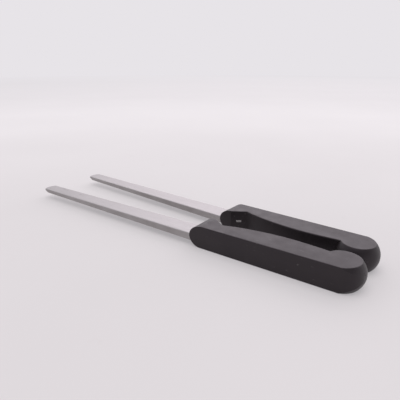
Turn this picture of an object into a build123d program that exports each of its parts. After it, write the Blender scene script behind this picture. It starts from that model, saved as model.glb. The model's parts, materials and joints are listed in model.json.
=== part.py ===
from build123d import *
import math
import os

# Spring loaded kitchen tongs, lying flat on one side, in millimetres.
# +X points to the tips, +Y to the left half, +Z up from the surface that the tongs lie on.
# Each half is drawn in its own half frame and then turned about the pivot to the open rest pose.
# In the half frame, "back" is the distance behind the front edge of the handle's top face,
# and "across" is the distance inwards from the flat outer side of the handle.

# ---- driving dimensions ----------------------------------------------------------------
rest_half_angle = 1.42          # each half leans out by this many degrees when sprung open
handle_height = 17.0            # thickness of the handle, from the surface up
mid_height = handle_height / 2  # parting plane of the two handle shells
nose_length = 7.2               # the front end bulges this far ahead of that edge
nose_start = 3.5                # and its round starts this far behind it
pivot_back = 99.5               # pivot axis, behind the front edge of the handle's top face
pivot_across = 27.0             # pivot axis, inwards from the outer side of the handle

lip_width = 19.2                # width of the square-cut front end
lip_length = 3.6
notch_back, notch_across = 13.8, 12.5
palm = [(24.0, 15.6), (40.0, 18.6), (60.0, 20.0), (76.0, 19.2)]
palm_end = (88.0, 17.9)
pommel_radius = 12.4
pommel_back = 101.6             # centre of the pommel's upright outer wall
end_back, end_radius = 97.8, 12.7   # round end of its top face
knob_back, knob_across = 99.8, 12.7     # centre of the knob that hooks inwards behind the palm
knob_start = 9.0                # the knob is only as wide as this on the outer side
knob_lap = 0.12                 # the knob stands this far proud of the round end
seam_across = 15.2              # the round end goes over into the knob by here
knob_foot = 4.5                 # the palm's wall runs this far on, into the knob
bulge = 3.4                     # end and knob bulge like a barrel, by this much at mid height
crease_round = 0.5              # small round where that bulge meets the top face
edge_round = 0.7                # small round on the long edges of the handle
corner_round = 0.9              # upright rounds at the lip and the notch

arm_length = 189.5              # from the front edge of the handle's top face to the tip
arm_outer = (1.0, 0.9)          # outer edge of the arm: at its handle end, at the tip
arm_inner = (17.6, 13.2)        # inner edge of the arm: at its handle end, at the tip
arm_top = 9.4                   # top face of the arm
sheet = 1.5                     # sheet thickness of arm and hinge plates
flange_low = (3.6, 6.0)         # lower edge of the arm's flanges: at the handle, near the tip
flange_end = 2.4                # the flanges stop this far short of the tip
flange_run_out = 4.0            # and slope up to the web over this length
bend_round = 0.6                # outside round of the arm's folded edges
tip_round = 1.4                 # round at each corner of the tip
tip_bulge = 2.2                 # the tip is a shallow arc
socket_depth = 4.0              # the full channel ends this far behind the front edge
tang_across = (2.5, 9.5)        # the tang inside the handle
tang_shoulder = 11.0            # the channel's web narrows to the tang by here
tang_end = 92.0
tab_width = 3.8                 # locating tab whose edge shows on the lip's ramp
tab_reach = 8.0
tab_inset = 0.1
sheet_room = 0.15               # moulded room round the steel

plate_start = 72.0              # hinge plate, riveted flat to the tang
plate_end = 94.0
eye_radius = 4.6
rivet_spots = [(76.0, 6.0), (86.0, 6.0)]
rivet_radius = 1.6
rivet_head_radius = 2.7
rivet_head_height = 0.9
rivet_round = 0.7               # round at the rim of each rivet head
rivet_fit = 0.02

pin_radius = 1.5
running_gap = 0.05              # radial clearance of the hinge bores
axial_gap = 0.05
pocket_radius = 5.4             # pocket for the hinge, in both pommels
pocket_low, pocket_high = 1.8, 13.3
pin_low = 2.0
clip_low, clip_high = 2.2, 2.7
clip_radius = 3.0
clip_mouth = 1.9
clip_play = 0.03                # between the clip and the walls of the pin's groove
groove_depth = 0.35
sleeve_low, sleeve_high = 3.25, 5.85
sleeve_radius = 2.4
washer_radius = 4.0
head_radius = 3.3
head_low, head_high = 11.5, 12.9
head_round = 0.9

wire_radius = 0.55
coil_radius = 3.35
coil_rise = 0.74                # height between neighbouring turns of the coil
leg_back, leg_across = 89.5, 13.5   # where each leg of the spring ends, inside its handle
leg_room = 0.5

screw_spots = [(29.0, 13.2), (61.0, 14.8), (104.0, 8.0)]
screw_radius = 1.4
screw_head_radius = 2.9
screw_head_height = 1.7
screw_head_low = 0.5            # the heads sit this far up their holes
screw_length = 12.6
cross_length, cross_width, cross_depth = 3.2, 0.7, 0.8
screw_room = 0.06
bore_room = 0.6                 # spare depth above each screw
rib = 1.6                       # wall between the tang and the hollows beside it
roof = 2.8                      # skin left above and below those hollows
hollow_runs = [(33.5, 44.0, 15.6), (46.0, 56.0, 16.8), (66.0, 72.0, 16.8)]   # start, end, depth

stop_back, stop_width = 106.8, 3.2  # moulded stop nubs behind the pivot, which meet when open
stop_low, stop_high = 6.0, 11.0
stop_root = 20.0
stop_gap = 0.05

far_off = 200.0                 # longer than anything here, for cutting tools

os.makedirs("parts", exist_ok=True)


# ---- the half frame ---------------------------------------------------------------------
def spot(back, across):
    """Half frame to the right half's drawing: the pivot axis is at x = 0, y = 0."""
    return (pivot_back - back, across - pivot_across)


def spots(points):
    return [spot(*p) for p in points]


def plate(points):
    """A flat face with straight sides, from points in the half frame."""
    return make_face(Polyline(*spots(points), close=True))


def strip(back_low, back_high, across_low, across_high):
    """A rectangle in the half frame."""
    return plate([(back_low, across_low), (back_high, across_low),
                  (back_high, across_high), (back_low, across_high)])


def disc(back, across, radius):
    x, y = spot(back, across)
    return Pos(x, y) * Circle(radius)


def slab(face, low, high):
    """A flat face drawn at z = 0, made solid from one height to another."""
    return extrude(Pos(0, 0, low) * face, high - low)


def drum(radius, low, high):
    """A round solid about the pivot axis."""
    return Pos(0, 0, low) * Cylinder(radius, high - low, align=(Align.CENTER, Align.CENTER, Align.MIN))


def ring(radius, bore, low, high):
    return drum(radius, low, high) - drum(bore, low - 1, high + 1)


# ---- the handle ---------------------------------------------------------------------------
def body_outline():
    """Plan shape without the knob: flat outer side, round end, palm swell, notch, ramp and lip."""
    front = -nose_length
    rear = (pommel_back + pommel_radius, pommel_radius)
    seam_back = pommel_back + math.sqrt(pommel_radius**2 - (seam_across - pommel_radius)**2)
    inside_knob = (palm_end[0] + knob_foot, palm_end[1])
    sides = Line(spot(front, 0), spot(pommel_back, 0))
    sides += ThreePointArc(spot(pommel_back, 0), spot(*rear), spot(seam_back, seam_across))
    sides += Line(spot(seam_back, seam_across), spot(*inside_knob))
    sides += Line(spot(*inside_knob), spot(*palm_end))
    sides += Spline(spot(*palm_end), *spots(reversed(palm)), spot(notch_back, notch_across))
    sides += Line(spot(notch_back, notch_across), spot(lip_length, lip_width))
    sides += Line(spot(lip_length, lip_width), spot(front, lip_width))
    sides += Line(spot(front, lip_width), spot(front, 0))
    return make_face(sides)


def upright_edges(block, back, across):
    """The block's upright edges at one spot of the half frame."""
    x, y = spot(back, across)
    return [e for e in block.edges().filter_by(Axis.Z)
            if abs(e.center().X - x) < 0.2 and abs(e.center().Y - y) < 0.2]


def nose_body():
    """Everything behind a round nose, in side view."""
    length = nose_length + nose_start
    x = pivot_back - nose_start
    behind = Pos(x - far_off, 0, mid_height) * Box(2 * far_off, far_off, handle_height)
    nose = extrude(Plane.XZ * Ellipse(length, mid_height), far_off / 2, both=True)
    return behind + Pos(x, 0, mid_height) * nose


def barrel(back, across, radius):
    """A barrel as high as the handle, with that radius at its top and bottom faces."""
    wide = radius + bulge
    side = make_face(
        Line((0, 0), (radius, 0))
        + ThreePointArc((radius, 0), (wide, mid_height), (radius, handle_height))
        + Line((radius, handle_height), (0, handle_height))
        + Line((0, handle_height), (0, 0)))
    rims = [v for v in side.vertices() if v.X > radius - 1]
    return Pos(*spot(back, across)) * revolve(Plane.XZ * fillet(rims, crease_round), Axis.Z)


def end_body():
    """Everything in front of the barrel-shaped end."""
    ahead = Pos(far_off / 2, 0, mid_height) * Box(far_off, far_off, handle_height)
    end = barrel(end_back, pommel_radius, end_radius)
    return end + Pos(*spot(end_back, pommel_radius)) * ahead


def knob():
    """The hooked knob: a smaller barrel that runs into the barrel-shaped end."""
    radius = end_radius - math.hypot(knob_back - end_back, knob_across - pommel_radius) + knob_lap
    inner = Pos(*spot(knob_back, knob_start + far_off / 2), mid_height) * Box(
        far_off, far_off, handle_height)
    return barrel(knob_back, knob_across, radius) & inner


def handle_block():
    """The whole moulded outside of one handle, still solid."""
    block = slab(body_outline(), 0, handle_height)
    for corner in [(notch_back, notch_across), (lip_length, lip_width)]:
        block = fillet(upright_edges(block, *corner), corner_round)
    levels = block.faces().sort_by(Axis.Z)
    front_x = pivot_back + nose_length
    rims = [e for f in (levels[0], levels[-1]) for e in f.edges() if e.center().X < front_x - 0.01]
    block = fillet(rims, edge_round)
    return (block & nose_body() & end_body()) + knob()


def stop_nub():
    """Small moulded block behind the pivot that meets its twin when the tongs are open."""
    reach = pivot_across + 3.0
    return slab(strip(stop_back - stop_width / 2, stop_back + stop_width / 2, stop_root, reach),
                stop_low, stop_high)


def shells():
    """Upper and lower moulded shells of one handle."""
    block = handle_block() + stop_nub()
    block = block - steel_room() - screw_holes() - lightening()
    parting = Plane.XY.offset(mid_height)
    upper = split(block, parting, keep=Keep.TOP)
    lower = split(block, parting, keep=Keep.BOTTOM)
    return upper, lower


# ---- the steel in each half ---------------------------------------------------------------
def arm_edge(back, edge):
    """How far across an edge of the arm is, at one place along it."""
    along = (socket_depth - back) / (socket_depth + arm_length - tip_bulge)
    return edge[0] + (edge[1] - edge[0]) * along


def tang_plan(room=0.0):
    """The web inside the handle: the end of the channel, its taper and the tang."""
    low, high = tang_across
    start = socket_depth - 0.5
    return plate([(start, arm_outer[0] - room), (socket_depth + room, arm_outer[0] - room),
                  (tang_shoulder + room, low - room), (tang_end + room, low - room),
                  (tang_end + room, high + room), (tang_shoulder + room, high + room),
                  (socket_depth + room, arm_inner[0] + room), (start, arm_inner[0] + room)])


def tab_plan(room=0.0):
    """Locating tab that ends flush in the middle of the lip's ramp."""
    turn = math.degrees(math.atan2(notch_back - lip_length, notch_across - lip_width))
    middle = spot((lip_length + notch_back) / 2, (lip_width + notch_across) / 2)
    inset = tab_reach / 2 + tab_inset - room
    return Pos(*middle) * Rot(0, 0, turn) * Pos(-inset, 0) * Rectangle(tab_reach, tab_width + 2 * room)


def hinge_plan(room=0.0):
    """Hinge plate: a foot along the tang and a neck that ends in the pivot eye."""
    low, high = tang_across
    neck_front = pivot_back - eye_radius - room
    neck_rear = pivot_back + eye_radius + room
    foot = strip(plate_start - room, plate_end, low - room, high + room)
    neck = plate([(86.0, high + room), (92.0, low - room), (97.0, low + 1.0 - room),
                  (neck_rear, 14.0), (neck_rear, pivot_across),
                  (neck_front, pivot_across), (neck_front, 17.5)])
    return foot + neck + Circle(eye_radius + room)


def hinge_plate(low):
    """One hinge plate with its pivot bore and its rivet holes."""
    plan = hinge_plan() - Circle(pin_radius + running_gap)
    for back, across in rivet_spots:
        plan -= disc(back, across, rivet_radius)
    return slab(plan, low, low + sheet)


def arm_bar():
    """The arm as a solid bar, with its tip and its top edges rounded."""
    outer_base, outer_tip = arm_outer
    inner_base, inner_tip = arm_inner
    end = -arm_length
    shoulder = end + tip_bulge
    plan = make_face(
        Line(spot(socket_depth, outer_base), spot(shoulder, outer_tip))
        + ThreePointArc(spot(shoulder, outer_tip), spot(end, (outer_tip + inner_tip) / 2),
                        spot(shoulder, inner_tip))
        + Line(spot(shoulder, inner_tip), spot(socket_depth, inner_base))
        + Line(spot(socket_depth, inner_base), spot(socket_depth, outer_base)))
    bar = slab(plan, 0, arm_top)
    tip_corners = [e for e in bar.edges().filter_by(Axis.Z) if e.center().X > pivot_back]
    bar = fillet(tip_corners, tip_round)
    rim = bar.faces().sort_by(Axis.Z)[-1].edges()
    return fillet([e for e in rim if e.center().X > pivot_back], bend_round)


def arm():
    """Folded steel arm: a level web, a flange along each side, and a tang in the handle."""
    tip_x = pivot_back + arm_length
    base_x = pivot_back - socket_depth - 1
    web_low = arm_top - sheet
    side = Plane.XZ * make_face(Polyline(
        (base_x, arm_top), (base_x, flange_low[0]),
        (tip_x - flange_end - flange_run_out, flange_low[1]), (tip_x - flange_end, web_low),
        (tip_x + 1, web_low), (tip_x + 1, arm_top), close=True))
    steel = arm_bar() & extrude(side, far_off, both=True)
    steel -= slab(channel_plan(socket_depth + 1, -arm_length - 1, sheet), 0, web_low)
    steel += slab(tang_plan(), web_low, arm_top)
    steel += slab(tab_plan(), web_low, arm_top)
    for back, across in rivet_spots:
        steel -= slab(disc(back, across, rivet_radius), 0, handle_height)
    return steel


def channel_plan(back_high, back_low, inset):
    """The arm's width between two places along it, narrowed by an inset on both sides."""
    return plate([(back_high, arm_edge(back_high, arm_outer) + inset),
                  (back_low, arm_edge(back_low, arm_outer) + inset),
                  (back_low, arm_edge(back_low, arm_inner) - inset),
                  (back_high, arm_edge(back_high, arm_inner) - inset)])


def tang_rivets(plate_low):
    """Two round-headed rivets through the tang and the hinge plate."""
    low = min(plate_low, arm_top - sheet)
    high = max(plate_low + sheet, arm_top)
    rivets = []
    for back, across in rivet_spots:
        shank = slab(disc(back, across, rivet_radius - rivet_fit), low, high)
        top = slab(disc(back, across, rivet_head_radius), high, high + rivet_head_height)
        bottom = slab(disc(back, across, rivet_head_radius), low - rivet_head_height, low)
        top = fillet(top.faces().sort_by(Axis.Z)[-1].edges(), rivet_round)
        bottom = fillet(bottom.faces().sort_by(Axis.Z)[0].edges(), rivet_round)
        rivets.append(shank + top + bottom)
    return Compound(rivets)


# ---- room inside the handle ---------------------------------------------------------------
def socket_room():
    """Room for the channel's end, round a moulded core that fills the channel."""
    mouth = -nose_length - 1
    inner = socket_depth + sheet_room
    outside = slab(channel_plan(inner, mouth, -sheet_room),
                   flange_low[0] - sheet_room, arm_top + sheet_room)
    core = slab(channel_plan(inner + 1, mouth - 1, sheet + sheet_room),
                0, arm_top - sheet - sheet_room)
    return outside - core


def steel_room():
    """Everything that the moulded shells leave free for the steel, the rivets and the hinge."""
    web_low = arm_top - sheet
    plate_room = 2 * sheet_room
    rivet_low = arm_top - 2 * sheet - rivet_head_height - plate_room
    rivet_high = arm_top + sheet + rivet_head_height + plate_room
    free = slab(tang_plan(sheet_room), web_low - sheet_room, arm_top + sheet_room)
    free += socket_room()
    free += slab(tab_plan(sheet_room), web_low - sheet_room, arm_top + sheet_room)
    free += slab(hinge_plan(plate_room), web_low - sheet - sheet_room, arm_top + sheet + sheet_room)
    free += drum(pocket_radius, pocket_low, pocket_high)
    free += spring_leg(wire_radius + leg_room)
    for back, across in rivet_spots:
        free += slab(disc(back, across, rivet_head_radius + plate_room), rivet_low, rivet_high)
    return free


def lightening():
    """Hollows under the palm swell, between the tang and the inner wall."""
    pockets = [slab(strip(start, end, tang_across[1] + rib, depth), roof, handle_height - roof)
               for start, end, depth in hollow_runs]
    return Compound(pockets)


# ---- the screws ---------------------------------------------------------------------------
def screw_body(back, across, room=0.0):
    """Countersunk head and plain shank, grown by some room for the hole."""
    x, y = spot(back, across)
    head = Pos(x, y, screw_head_low) * Cone(
        screw_head_radius + room, screw_radius + room, screw_head_height,
        align=(Align.CENTER, Align.CENTER, Align.MIN))
    return head + slab(disc(back, across, screw_radius + room),
                       screw_head_low + 1.0, screw_head_low + screw_length)


def screws():
    """Countersunk screws, driven from the lower side, each with a cross recess."""
    made = []
    for back, across in screw_spots:
        cross = Box(cross_length, cross_width, 2 * cross_depth)
        cross += Box(cross_width, cross_length, 2 * cross_depth)
        made.append(screw_body(back, across) - Pos(*spot(back, across), screw_head_low) * cross)
    return Compound(made)


def screw_holes():
    holes = []
    for back, across in screw_spots:
        hole = screw_body(back, across, screw_room)
        hole += slab(disc(back, across, screw_head_radius + screw_room), -1, screw_head_low + 0.01)
        hole += slab(disc(back, across, screw_radius + screw_room),
                     screw_head_low + 1.0, screw_head_low + screw_length + bore_room)
        holes.append(hole)
    return Compound(holes)


# ---- the pivot ----------------------------------------------------------------------------
def pivot_pin():
    head = drum(head_radius, head_low, head_high)
    head = fillet(head.faces().sort_by(Axis.Z)[-1].edges(), head_round)
    shank = drum(pin_radius, pin_low, head_low + 0.1)
    groove = ring(pin_radius + 1, pin_radius - groove_depth, clip_low, clip_high)
    return head + shank - groove


def pivot_clip():
    """Retaining clip in the pin's groove, open on one side."""
    bore = pin_radius - groove_depth + clip_play
    clip = ring(clip_radius, bore, clip_low + clip_play, clip_high - clip_play)
    mouth = Pos(-clip_radius, 0, (clip_low + clip_high) / 2) * Box(2 * clip_radius, clip_mouth, 2)
    return clip - mouth


def washer(low, high):
    return ring(washer_radius, pin_radius + running_gap, low, high)


def leg_level():
    return (sleeve_low + sleeve_high) / 2


def spring_leg(radius):
    """Straight leg that leaves the coil on a tangent and ends in the handle."""
    end = Vector(*spot(leg_back, leg_across))
    turn = math.atan2(end.Y, end.X) + math.acos(coil_radius / end.length)
    start = Vector(coil_radius * math.cos(turn), coil_radius * math.sin(turn))
    run = end - start
    return extrude(Plane(origin=(start.X, start.Y, leg_level()), z_dir=run) * Circle(radius), run.length)


def torsion_spring():
    """Coil round the sleeve, with a straight leg into each handle."""
    turns = [Pos(0, 0, leg_level() + layer * coil_rise) * Torus(coil_radius, wire_radius)
             for layer in (-1, 0, 1)]
    coil = turns[0] + turns[1] + turns[2]
    return coil + right_side(spring_leg(wire_radius)) + left_side(spring_leg(wire_radius))


# ---- placing ------------------------------------------------------------------------------
def right_side(shape):
    """Turn the right half out to the open rest pose, about the pivot."""
    return Rot(0, 0, -rest_half_angle) * shape


def left_side(shape):
    return mirror(right_side(shape), Plane.XZ)


def trimmed(shape):
    """Cut the stop nub off just short of the plane between the halves."""
    keep = Pos(0, -far_off - stop_gap / 2, 0) * Box(4 * far_off, 2 * far_off, far_off)
    return shape & keep


def tongs_centre():
    """Distance from the pivot axis to the middle of the tongs' length."""
    turn = math.radians(rest_half_angle)
    tip = arm_length + pivot_back
    tip_middle = pivot_across - (arm_outer[1] + arm_inner[1]) / 2
    front = tip * math.cos(turn) - tip_middle * math.sin(turn)
    end_behind = end_back - pivot_back
    end_side = pivot_across - pommel_radius
    rear = end_behind * math.cos(turn) + end_side * math.sin(turn) + end_radius + bulge
    return (front - rear) / 2


# ---- the tongs ----------------------------------------------------------------------------
def half_nodes(side, name, plate_low):
    """The pieces of one half, which differ only in the level of the hinge plate."""
    upper, lower = shells()
    made = {
        "handle_upper": trimmed(right_side(upper)),
        "handle_lower": trimmed(right_side(lower)),
        "arm": right_side(arm()),
        "hinge_plate": right_side(hinge_plate(plate_low)),
        "tang_rivets": right_side(tang_rivets(plate_low)),
        "handle_screws": right_side(screws()),
    }
    return {f"{name}_{piece}": side(shape) for piece, shape in made.items()}


def pivot_nodes(plate_below, plate_above):
    """The pieces on the pivot axis, from the clip up to the pin's head."""
    return {
        "pivot_pin": pivot_pin(),
        "pivot_clip": pivot_clip(),
        "pivot_washer_bottom": washer(clip_high + axial_gap, sleeve_low - axial_gap),
        "spring_sleeve": ring(sleeve_radius, pin_radius + running_gap, sleeve_low, sleeve_high),
        "torsion_spring": torsion_spring(),
        "pivot_washer_lower": washer(sleeve_high, plate_below - axial_gap),
        "pivot_washer_middle": washer(plate_below + sheet + axial_gap, plate_above - axial_gap),
        "pivot_washer_upper": washer(plate_above + sheet + axial_gap, head_low - axial_gap),
    }


def build():
    plate_above = arm_top
    plate_below = arm_top - 2 * sheet
    nodes = half_nodes(lambda shape: shape, "right", plate_above)
    nodes.update(half_nodes(lambda shape: mirror(shape, Plane.XZ), "left", plate_below))
    nodes.update(pivot_nodes(plate_below, plate_above))
    shift = Pos(-tongs_centre(), 0, 0)
    for name, shape in nodes.items():
        export_step(shift * shape, f"parts/{name}.step")
    print("pivot x", -tongs_centre())


build()
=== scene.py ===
import json
import math

import bpy
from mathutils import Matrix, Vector


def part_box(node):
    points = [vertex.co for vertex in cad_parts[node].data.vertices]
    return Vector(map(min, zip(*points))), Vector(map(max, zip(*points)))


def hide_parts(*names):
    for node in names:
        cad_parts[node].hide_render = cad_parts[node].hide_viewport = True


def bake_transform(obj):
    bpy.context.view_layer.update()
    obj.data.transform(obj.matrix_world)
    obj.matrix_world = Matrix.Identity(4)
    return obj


# Kitchen tongs on a pale sheet. Units are metres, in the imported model's own frame:
# +X to the tips, +Y to the left half, +Z up. The squeeze joint's axis is the reference point.

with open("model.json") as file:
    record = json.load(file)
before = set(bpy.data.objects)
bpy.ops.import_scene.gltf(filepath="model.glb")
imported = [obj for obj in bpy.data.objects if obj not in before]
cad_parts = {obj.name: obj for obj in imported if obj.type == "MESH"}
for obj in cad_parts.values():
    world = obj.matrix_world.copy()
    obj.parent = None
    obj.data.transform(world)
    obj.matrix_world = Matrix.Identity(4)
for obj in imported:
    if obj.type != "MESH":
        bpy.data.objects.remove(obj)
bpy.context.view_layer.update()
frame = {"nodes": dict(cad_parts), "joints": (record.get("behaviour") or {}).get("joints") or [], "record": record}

MM = 0.001
PIVOT = Vector(frame["joints"][0]["pos_m"])

# ---- the view ---------------------------------------------------------------------------
EYE = Vector((PIVOT.x - 0.0599, 0.2323, 0.1281))
HEADING = Vector((0.6097, -0.7927, 0.0))     # the level direction of the view
PITCH_DOWN = math.radians(19.53)
LENS_MM = 35.29
SENSOR_MM = 36.0
CLIP_START = 0.01

# ---- the sheet and the backdrop ----------------------------------------------------------
FLOOR_SIZE = 60.0
FLOOR_DROP = 0.00002            # keeps the sheet's face clear of the faces that lie on it
BACKDROP = (0.800, 0.775, 0.806)
FLOOR_TONES = ((0.412, 0.400, 0.394), (0.430, 0.418, 0.412))
FLOOR_STAIN = (0.38, 0.360, 0.350)
GLOW_CENTRE = (-0.15, 0.20, 0.0)
FADE_START = 0.45               # the sheet's own colour fades out between these distances
FADE_END = 4.0
# how much the sheet glows, in the backdrop's tone, at each distance from that centre: painted light, which lifts
# the sheet's shadows near the tongs and blends it into the backdrop further out
GLOW = ((0.0, 0.395), (0.15, 0.395), (0.30, 0.41), (0.47, 0.455), (0.62, 0.505), (0.77, 0.575),
        (1.02, 0.64), (1.50, 0.665), (2.64, 0.79), (4.0, 1.0))

# ---- the lights ---------------------------------------------------------------------------
# level of the room light, at places from 0 straight behind the camera to 1 straight ahead
ROOM = ((0.0, 0.20), (0.60, 1.0))
# the backdrop's even tone holds up to the first height, and the room light takes over by the second
SKY_START = (0.22, 0.50)
# name, metres ahead, right and up from the pivot, size, power, colour
SOFTBOXES = (
    ("back_right", 2.6, 1.1, 1.6, (4.5, 2.4), 36.0, (1.0, 0.91, 0.975)),
    ("overhead", 0.0, 0.0, 1.3, (1.2, 1.2), 5.5, (1.0, 0.95, 0.985)),
)

# ---- the torsion spring, in millimetres about the pivot axis ------------------------------
WIRE_RADIUS = 0.5
COIL_RADIUS = 3.35
COIL_PITCH = 1.06
COIL_TURNS = 1.85               # about: the coil starts and ends where a leg leaves it straight
LEG_END = (10.0, 13.5)          # ahead of the pivot, and out to each side
POINTS_PER_TURN = 40
WIRE_SIDES = 12

# ---- what the materials go by ---------------------------------------------------------------
PARTING_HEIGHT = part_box("right_handle_lower")[1].z
PARTING_CLEAR = 0.0012          # no lighter edges, worn and painted as a rim highlight, this close to where the handle shells meet
FLANGE_DROP = 0.0006            # the arms' side walls begin this far below their top, and are painted darker there as shade
FLANGE_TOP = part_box("right_arm")[1].z - FLANGE_DROP
NOISE_LOW = 0.3                 # nearly all of a noise texture lies between these two levels
NOISE_HIGH = 0.7
BEVEL_SAMPLES = 6
EDGE_FULL = 0.80                # how far the rounded and the true normal agree where the edge mask is full, and where it is zero
EDGE_NONE = 0.985               # and where there is none
MIX_A = 6                       # the Mix node's colour sockets
MIX_B = 7
MIX_RESULT = 2


# ---- small helpers for shader nodes -----------------------------------------------------------
class Nodes:
    """A node tree under construction: makes nodes and links them."""

    def __init__(self, tree, space):
        self.tree = tree
        self.coords = tree.nodes.new("ShaderNodeTexCoord").outputs[space]

    def node(self, kind, **values):
        made = self.tree.nodes.new(kind)
        for key, value in values.items():
            setattr(made, key, value)
        return made

    def link(self, source, target):
        self.tree.links.new(source, target)

    def vector_math(self, operation, a, b):
        """A socket put together with a fixed vector."""
        made = self.node("ShaderNodeVectorMath", operation=operation)
        self.link(a, made.inputs[0])
        made.inputs[1].default_value = b
        return made.outputs["Value"]

    def math(self, operation, a, b):
        made = self.node("ShaderNodeMath", operation=operation)
        for socket, value in zip(made.inputs, (a, b)):
            if isinstance(value, (int, float)):
                socket.default_value = value
            else:
                self.link(value, socket)
        return made.outputs["Value"]

    def map_range(self, source, low, high, new_low=0.0, new_high=1.0):
        """A value spread from one range over another, and held at its ends."""
        made = self.node("ShaderNodeMapRange")
        self.link(source, made.inputs["Value"])
        made.inputs["From Min"].default_value = low
        made.inputs["From Max"].default_value = high
        made.inputs["To Min"].default_value = new_low
        made.inputs["To Max"].default_value = new_high
        return made.outputs["Result"]

    def mix(self, factor, a, b):
        """Colour a where the factor is 0, b where it is 1."""
        made = self.node("ShaderNodeMix", data_type="RGBA")
        self.link(factor, made.inputs["Factor"])
        for socket, value in ((made.inputs[MIX_A], a), (made.inputs[MIX_B], b)):
            if isinstance(value, tuple):
                socket.default_value = (*value, 1)
            else:
                self.link(value, socket)
        return made.outputs[MIX_RESULT]

    def ramp(self, source, low, high, colours=((0, 0, 0), (1, 1, 1))):
        """Colour ramp from one level of a factor to another."""
        made = self.node("ShaderNodeValToRGB")
        for stop, place, colour in zip(made.color_ramp.elements, (low, high), colours):
            stop.position = place
            stop.color = (*colour, 1)
        self.link(source, made.inputs["Fac"])
        return made.outputs["Color"]

    def backdrop_ramp(self, source, levels, reach):
        """The backdrop's tone at a list of levels; their places run from 0 to the reach."""
        made = self.node("ShaderNodeValToRGB")
        stops = made.color_ramp.elements
        while len(stops) < len(levels):
            stops.new(0.5)
        for stop, (place, level) in zip(stops, levels):
            stop.position = place / reach
            stop.color = (*[level * c for c in BACKDROP], 1)
        self.link(source, made.inputs["Fac"])
        return made.outputs["Color"]

    def height(self):
        split = self.node("ShaderNodeSeparateXYZ")
        self.link(self.coords, split.inputs[0])
        return split.outputs["Z"]


class Mat(Nodes):
    """A material under construction, in the model's own coordinates."""

    def __init__(self, name):
        self.mat = bpy.data.materials.new(name)
        self.mat.use_nodes = True
        self.shader = self.mat.node_tree.nodes["Principled BSDF"]
        super().__init__(self.mat.node_tree, "Object")

    def noise(self, scale, detail, roughness, stretch=(1, 1, 1)):
        """Noise texture, with the coordinates scaled along each axis first."""
        mapping = self.node("ShaderNodeMapping")
        self.link(self.coords, mapping.inputs["Vector"])
        mapping.inputs["Scale"].default_value = stretch
        made = self.node("ShaderNodeTexNoise")
        made.inputs["Scale"].default_value = scale
        made.inputs["Detail"].default_value = detail
        made.inputs["Roughness"].default_value = roughness
        self.link(mapping.outputs["Vector"], made.inputs["Vector"])
        return made.outputs["Fac"]

    def span(self, noise, low, high):
        """A noise spread over a range of its own."""
        return self.map_range(noise, NOISE_LOW, NOISE_HIGH, low, high)

    def drift(self, noise, a, b):
        """A colour that drifts from a to b with a noise."""
        return self.mix(self.ramp(noise, NOISE_LOW, NOISE_HIGH), a, b)

    def bump(self, height, depth, strength, under=None):
        """Normal for a height map; under is the normal of a coarser one below it."""
        made = self.node("ShaderNodeBump")
        made.inputs["Distance"].default_value = depth
        made.inputs["Strength"].default_value = strength
        self.link(height, made.inputs["Height"])
        if under is not None:
            self.link(under, made.inputs["Normal"])
        return made.outputs["Normal"]

    def edge_mask(self, radius):
        """1 along edges, 0 elsewhere: how far a rounded normal leans from the true one."""
        bevel = self.node("ShaderNodeBevel", samples=BEVEL_SAMPLES)
        bevel.inputs["Radius"].default_value = radius
        geometry = self.node("ShaderNodeNewGeometry")
        dot = self.node("ShaderNodeVectorMath", operation="DOT_PRODUCT")
        self.link(bevel.outputs["Normal"], dot.inputs[0])
        self.link(geometry.outputs["Normal"], dot.inputs[1])
        return self.ramp(dot.outputs["Value"], EDGE_FULL, EDGE_NONE, ((1, 1, 1), (0, 0, 0)))

    def below(self, level):
        """1 lower than this height, 0 above it."""
        return self.math("LESS_THAN", self.height(), level)

    def off_parting_line(self):
        """0 at the height where the two handle shells meet, 1 away from it."""
        away = self.math("SUBTRACT", self.height(), PARTING_HEIGHT)
        return self.math("GREATER_THAN", self.math("ABSOLUTE", away, 0.0), PARTING_CLEAR)


# ---- materials ------------------------------------------------------------------------------
def handle_plastic():
    """Black moulded plastic: fine spark texture, cloudy sheen, polished edges that are lighter (partly wear,
    partly a painted rim highlight), pale scuffs.
    """
    m = Mat("handle_plastic_black")
    clouds = m.noise(scale=38, detail=4, roughness=0.55)
    smudge = m.noise(scale=120, detail=3, roughness=0.6)
    grain = m.noise(scale=2600, detail=2, roughness=0.6)
    scuff = m.ramp(m.noise(scale=420, detail=5, roughness=0.7, stretch=(0.35, 1, 1)), 0.64, 0.70)
    patchy = m.span(m.noise(scale=260, detail=3, roughness=0.6), 0.25, 1.0)
    # edges lighter and glossier: partly wear, partly a painted highlight along the rim
    worn_and_sheen = m.math("MULTIPLY", m.edge_mask(radius=0.0008), patchy)
    worn_and_sheen = m.math("MULTIPLY", worn_and_sheen, m.off_parting_line())
    base = m.drift(clouds, (0.0092, 0.0070, 0.0080), (0.0158, 0.0124, 0.0135))
    base = m.mix(worn_and_sheen, base, (0.042, 0.038, 0.040))
    base = m.mix(scuff, base, (0.070, 0.064, 0.065))
    m.link(base, m.shader.inputs["Base Color"])
    rough = m.math("ADD", m.span(clouds, 0.35, 0.47), m.span(smudge, -0.035, 0.045))
    rough = m.math("SUBTRACT", rough, m.math("MULTIPLY", worn_and_sheen, 0.10))
    m.link(rough, m.shader.inputs["Roughness"])
    m.shader.inputs["Specular IOR Level"].default_value = 0.42
    m.shader.inputs["Specular Tint"].default_value = (1.0, 0.92, 0.98, 1)
    waves = m.bump(m.noise(scale=70, detail=2, roughness=0.5), depth=0.00025, strength=0.35)
    m.link(m.bump(grain, depth=0.00004, strength=0.6, under=waves), m.shader.inputs["Normal"])
    return m.mat


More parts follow.
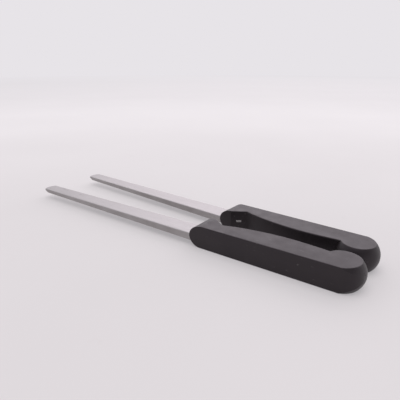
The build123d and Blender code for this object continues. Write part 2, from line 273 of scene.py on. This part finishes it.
def arm_steel():
    """Stainless strip with a fine grain along its length, faint handling marks, side walls painted darker as
    shade, and lighter edges.
    """
    m = Mat("arm_stainless_brushed")
    grain = m.noise(scale=2200, detail=3, roughness=0.6, stretch=(0.015, 1, 1))
    cloud = m.noise(scale=24, detail=3, roughness=0.5, stretch=(0.5, 1, 1))
    marks = m.ramp(m.noise(scale=160, detail=4, roughness=0.7, stretch=(0.2, 1, 1)), 0.64, 0.74)
    base = m.drift(cloud, (0.478, 0.466, 0.468), (0.535, 0.520, 0.522))
    base = m.mix(marks, base, (0.41, 0.395, 0.392))
    # painted shade: below FLANGE_TOP the arms' side walls are darkened in patches, standing in for the dimmer
    # light on them
    patchy = m.span(m.noise(scale=45, detail=4, roughness=0.6), 0.45, 1.0)
    flange_painted_shade = m.math("MULTIPLY", m.below(FLANGE_TOP), patchy)
    base = m.mix(flange_painted_shade, base, (0.345, 0.328, 0.324))
    # lighter along the edges
    base = m.mix(m.edge_mask(radius=0.0005), base, (0.60, 0.585, 0.585))
    m.link(base, m.shader.inputs["Base Color"])
    m.shader.inputs["Metallic"].default_value = 1.0
    m.link(m.math("ADD", m.span(grain, 0.50, 0.62), m.span(cloud, -0.03, 0.05)),
           m.shader.inputs["Roughness"])
    m.link(m.bump(grain, depth=0.00002, strength=0.6), m.shader.inputs["Normal"])
    return m.mat


def plain_steel(name, colour, rough, turned):
    """Rivets, screws, pin and spring: zinc-bright steel with fine turning or drawing marks."""
    m = Mat(name)
    marks = m.noise(scale=1500, detail=3, roughness=0.6, stretch=turned)
    cloud = m.noise(scale=160, detail=3, roughness=0.5)
    darker = tuple(0.8 * c for c in colour)
    m.link(m.drift(cloud, darker, colour), m.shader.inputs["Base Color"])
    m.shader.inputs["Metallic"].default_value = 1.0
    m.link(m.span(marks, rough - 0.06, rough + 0.08), m.shader.inputs["Roughness"])
    m.link(m.bump(marks, depth=0.00002, strength=0.4), m.shader.inputs["Normal"])
    return m.mat


def washer_plastic():
    """Natural nylon for the sleeve and the washers."""
    m = Mat("washer_nylon_natural")
    cloud = m.noise(scale=300, detail=3, roughness=0.5)
    m.link(m.drift(cloud, (0.58, 0.55, 0.48), (0.68, 0.66, 0.59)), m.shader.inputs["Base Color"])
    m.link(m.span(cloud, 0.4, 0.5), m.shader.inputs["Roughness"])
    m.shader.inputs["Subsurface Weight"].default_value = 0.1
    m.shader.inputs["Subsurface Scale"].default_value = 0.0005
    grain = m.noise(scale=2500, detail=2, roughness=0.5)
    m.link(m.bump(grain, depth=0.00002, strength=0.3), m.shader.inputs["Normal"])
    return m.mat


def floor_sheet():
    """Pale sheet with faint soft stains. It glows in the backdrop's tone everywhere, as painted light that lifts
    its shadows, and more brightly further out, where it blends into the backdrop.
    """
    m = Mat("floor_sheet_pale")
    base = m.drift(m.noise(scale=5, detail=3, roughness=0.5), *FLOOR_TONES)
    stain = m.ramp(m.noise(scale=26, detail=4, roughness=0.65), 0.66, 0.82)
    base = m.mix(stain, base, FLOOR_STAIN)
    distance = m.map_range(m.vector_math("DISTANCE", m.coords, GLOW_CENTRE), 0.0, FADE_END)
    # painted light: the sheet's own glow, which lightens the shadows cast on it
    m.link(m.backdrop_ramp(distance, GLOW, FADE_END), m.shader.inputs["Emission Color"])
    m.shader.inputs["Emission Strength"].default_value = 1.0
    fade = m.ramp(distance, FADE_START / FADE_END, 1.0)
    m.link(m.mix(fade, base, (0.0, 0.0, 0.0)), m.shader.inputs["Base Color"])
    m.shader.inputs["Roughness"].default_value = 0.6
    m.shader.inputs["Specular IOR Level"].default_value = 0.0
    return m.mat


# ---- pieces made here -----------------------------------------------------------------------
def wire_path():
    """Centre line of the torsion spring: leg, coil, leg. The legs are tangents of the coil."""
    reach = math.hypot(*LEG_END)
    off = math.acos(COIL_RADIUS / reach)
    aim = math.atan2(LEG_END[1], LEG_END[0])
    start = -aim - off
    end = aim + off
    sweep = 2 * math.pi * COIL_TURNS
    turns = round((sweep - (end - start)) / (2 * math.pi))
    sweep = end - start + 2 * math.pi * turns
    steps = round(sweep / (2 * math.pi) * POINTS_PER_TURN)
    rise = COIL_PITCH * sweep / (2 * math.pi)
    coil = []
    for i in range(steps + 1):
        angle = start + sweep * i / steps
        coil.append(Vector((COIL_RADIUS * math.cos(angle), COIL_RADIUS * math.sin(angle),
                            rise * (i / steps - 0.5))))
    return [Vector((LEG_END[0], -LEG_END[1], -rise / 2)), *coil,
            Vector((LEG_END[0], LEG_END[1], rise / 2))]


def torsion_spring():
    """Round wire wound in a real helix, as a closed tube."""
    box_low, box_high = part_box("torsion_spring")
    level = (box_low.z + box_high.z) / 2
    data = bpy.data.curves.new("spring_wire", "CURVE")
    data.dimensions = "3D"
    data.bevel_depth = WIRE_RADIUS * MM
    data.bevel_resolution = WIRE_SIDES // 4
    data.use_fill_caps = True
    path = wire_path()
    line = data.splines.new("POLY")
    line.points.add(len(path) - 1)
    for point, place in zip(line.points, path):
        point.co = (PIVOT.x + place.x * MM, place.y * MM, level + place.z * MM, 1)
    curve = bpy.data.objects.new("spring_curve", data)
    bpy.context.scene.collection.objects.link(curve)
    mesh = bpy.data.meshes.new_from_object(curve)
    bpy.data.objects.remove(curve)
    spring = bpy.data.objects.new("torsion_spring_wire", mesh)
    bpy.context.scene.collection.objects.link(spring)
    for face in mesh.polygons:
        face.use_smooth = True
    return spring


# ---- the view, the floor and the lights -------------------------------------------------------
def make_camera():
    """The photo's own view, without roll."""
    data = bpy.data.cameras.new("camera")
    data.lens = LENS_MM
    data.sensor_width = SENSOR_MM
    data.clip_start = CLIP_START
    camera = bpy.data.objects.new("camera", data)
    bpy.context.scene.collection.objects.link(camera)
    look = HEADING * math.cos(PITCH_DOWN) + Vector((0, 0, -math.sin(PITCH_DOWN)))
    camera.rotation_euler = look.to_track_quat("-Z", "Y").to_euler()
    camera.location = EYE
    bpy.context.scene.camera = camera


def make_floor():
    """A flat sheet, so wide that its edge is lost in the backdrop."""
    bpy.ops.mesh.primitive_plane_add(size=FLOOR_SIZE, location=(0, 0, -FLOOR_DROP))
    floor = bpy.context.object
    floor.name = "floor"
    floor.data.materials.append(floor_sheet())


def softbox(name, place, size, power, colour):
    """A rectangular light turned to the pivot."""
    data = bpy.data.lights.new(name, "AREA")
    data.shape = "RECTANGLE"
    data.size, data.size_y = size
    data.energy = power
    data.color = colour
    lamp = bpy.data.objects.new(name, data)
    bpy.context.scene.collection.objects.link(lamp)
    lamp.location = place
    lamp.rotation_euler = (PIVOT - place).to_track_quat("-Z", "Y").to_euler()


def make_room():
    """The backdrop's even tone near the horizon; higher up, light that is dimmer behind the camera."""
    world = bpy.data.worlds.new("studio")
    bpy.context.scene.world = world
    world.use_nodes = True
    room = Nodes(world.node_tree, "Generated")
    ahead = room.map_range(room.vector_math("DOT_PRODUCT", room.coords, HEADING), -1.0, 1.0)
    overhead = room.backdrop_ramp(ahead, ROOM, 1.0)
    tone = room.mix(room.map_range(room.height(), *SKY_START), BACKDROP, overhead)
    room.link(tone, world.node_tree.nodes["Background"].inputs["Color"])


def make_softboxes():
    """One large softbox high at the back right, and a small one straight above the pivot."""
    side = HEADING.cross(Vector((0, 0, 1)))
    for name, ahead, right, up, size, power, colour in SOFTBOXES:
        place = PIVOT + HEADING * ahead + side * right + Vector((0, 0, up))
        softbox(name, place, size, power, colour)


# ---- build ----------------------------------------------------------------------------------
bpy.context.scene.view_settings.view_transform = "Standard"

SLOT_OF = {part["node"]: part["material_slot"] for part in frame["record"]["subparts"]}
FINISH = {
    "handle_plastic": handle_plastic(),
    "arm_steel": arm_steel(),
    "rivet_steel": plain_steel("fastener_steel_zinc", (0.60, 0.59, 0.57), 0.32, (1, 1, 1)),
    "spring_steel": plain_steel("spring_wire_steel", (0.46, 0.46, 0.47), 0.26, (1, 1, 0.2)),
    "washer_plastic": washer_plastic(),
}
for name, piece in frame["nodes"].items():
    piece.data.materials.clear()
    piece.data.materials.append(FINISH[SLOT_OF[name]])

spring = torsion_spring()
spring.data.materials.append(FINISH["spring_steel"])
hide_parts("torsion_spring")
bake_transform(spring)

make_camera()
make_floor()
make_room()
make_softboxes()
